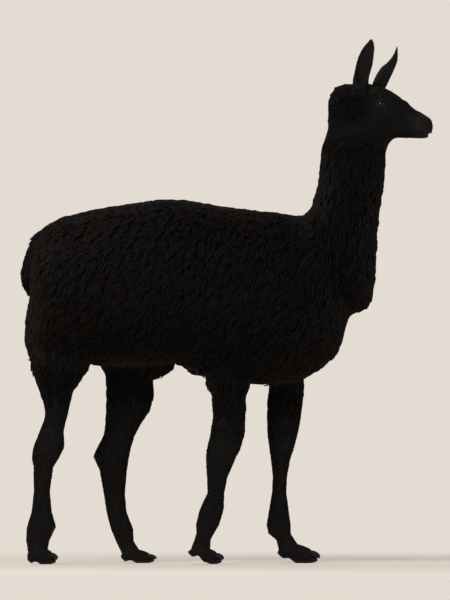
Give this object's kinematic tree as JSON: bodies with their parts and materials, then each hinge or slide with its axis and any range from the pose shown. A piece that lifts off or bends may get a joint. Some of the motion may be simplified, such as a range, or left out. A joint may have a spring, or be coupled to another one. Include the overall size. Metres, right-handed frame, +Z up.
{
  "type": "llama",
  "caption": "Life-size black llama in full wool, walking in a slow pace with its head up and its ears pricked.",
  "frame": {"origin": "on the floor, under the middle of the llama's length and width", "axes": "+X towards the nose, +Y towards the llama's left side, +Z up"},
  "size_m": [1.3586, 0.4632, 1.729],
  "materials": {
    "wool": "long black wool in locks, a little browner at the tips",
    "face_hair": "short black hair",
    "leg_hair": "short, slightly glossy black hair",
    "ear_hair": "short, soft black hair",
    "horn": "dark horn, worn dull at the tips",
    "eye": "wet, very dark brown"
  },
  "bodies": {
    "root": {"trunk": "wool", "neck": "wool", "tail": "wool", "head": "face_hair", "lower_jaw": "face_hair", "ear_right": "ear_hair", "ear_left": "ear_hair", "eye_right": "eye", "eye_left": "eye", "hind_right_thigh": "leg_hair", "hind_right_cannon": "leg_hair", "hind_right_foot": "leg_hair", "hind_right_nail_outer": "horn", "hind_right_nail_inner": "horn", "hind_left_thigh": "leg_hair", "hind_left_cannon": "leg_hair", "hind_left_foot": "leg_hair", "hind_left_nail_outer": "horn", "hind_left_nail_inner": "horn", "fore_right_forearm": "leg_hair", "fore_right_cannon": "leg_hair", "fore_right_foot": "leg_hair", "fore_right_nail_outer": "horn", "fore_right_nail_inner": "horn", "fore_left_forearm": "leg_hair", "fore_left_cannon": "leg_hair", "fore_left_foot": "leg_hair", "fore_left_nail_outer": "horn", "fore_left_nail_inner": "horn"}
  },
  "joints": []
}
